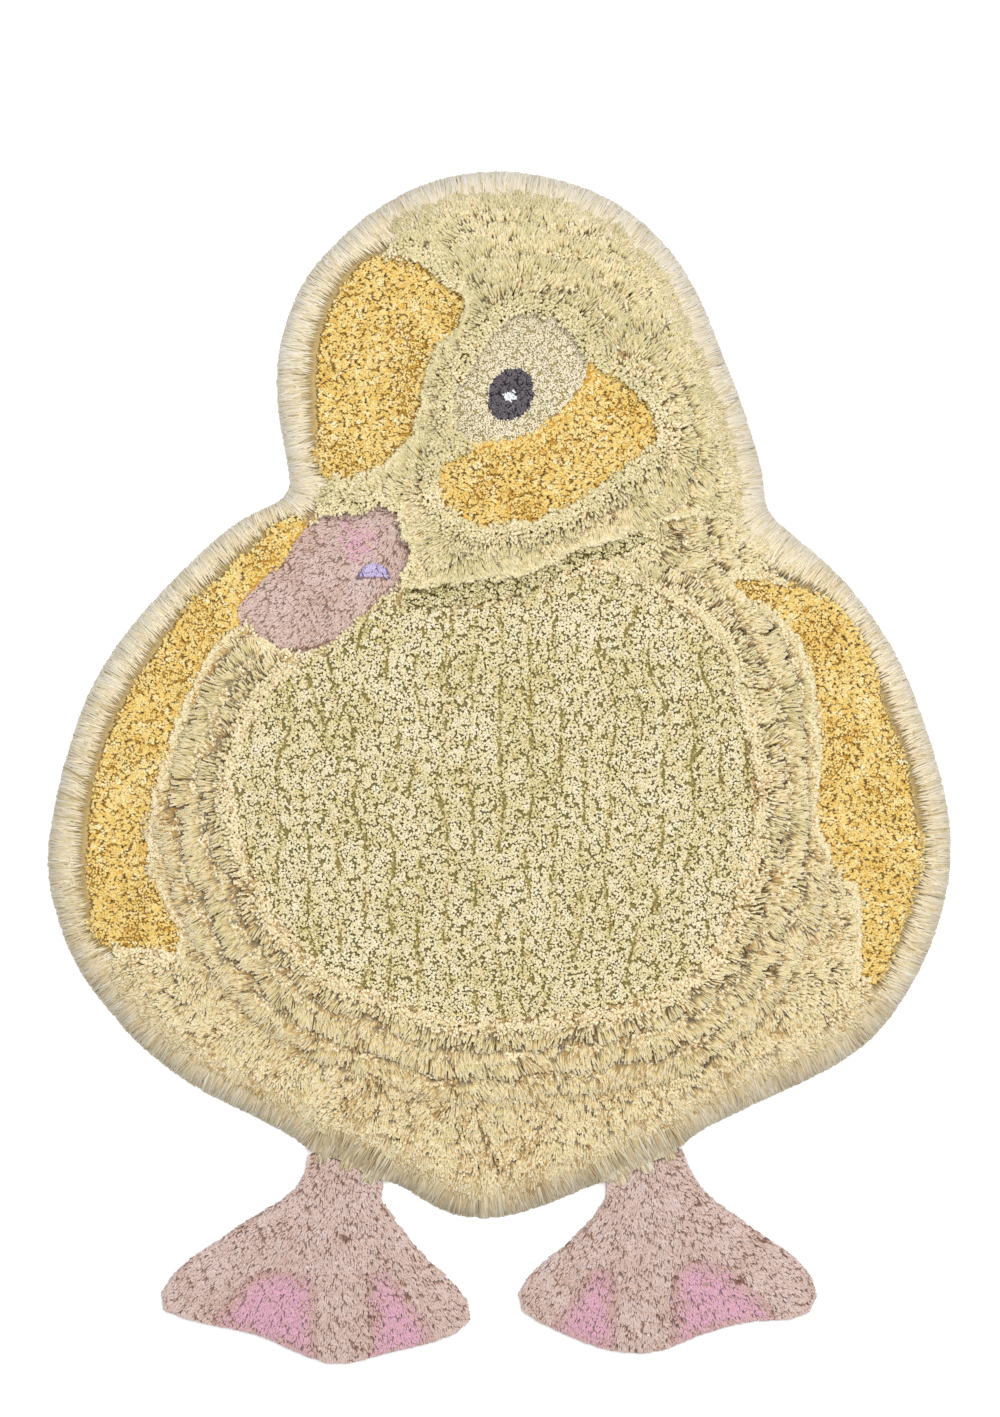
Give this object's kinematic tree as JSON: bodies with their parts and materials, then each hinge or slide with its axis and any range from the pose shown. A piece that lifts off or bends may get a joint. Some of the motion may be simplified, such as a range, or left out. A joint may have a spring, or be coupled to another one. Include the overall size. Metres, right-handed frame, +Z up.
{
  "type": "animal-shaped kids rug",
  "caption": "Flat tufted rug in the outline of a duckling, with long cream shag, mustard cheeks and wings, and short pink plush feet and beak.",
  "frame": {"origin": "on the floor, under the middle of the rug's bounding box", "axes": "+Z up, from the floor to the pile; +Y from the feet to the crown of the head; +X to the duckling's right-hand side as it is seen from above"},
  "size_m": [0.9078, 1.198, 0.0368],
  "materials": {
    "canvas": "plain cotton canvas",
    "cream_shag": "long cream cotton shag",
    "olive_chin": "olive cotton tufts",
    "sage_belly": "dense greenish cream cut pile",
    "mustard": "mustard and cream mixed cut pile",
    "oat_plush": "short oat cotton pile",
    "charcoal": "short charcoal pile",
    "white": "short white pile",
    "blush_plush": "short pink-beige plush",
    "lilac_satin": "lilac satin stitch",
    "rose_web": "short rose plush"
  },
  "bodies": {
    "root": {"base_cloth": "canvas", "head_shag": "cream_shag", "body_shag": "cream_shag", "chin_band": "olive_chin", "belly": "sage_belly", "cheek_left": "mustard", "cheek_right": "mustard", "wing_left": "mustard", "wing_right": "mustard", "eye_patch": "oat_plush", "pupil": "charcoal", "eye_glint": "white", "beak": "blush_plush", "nostril": "lilac_satin", "foot_left": "blush_plush", "foot_right": "blush_plush", "web_left_outer": "rose_web", "web_left_inner": "rose_web", "web_right_inner": "rose_web", "web_right_outer": "rose_web"}
  },
  "joints": []
}
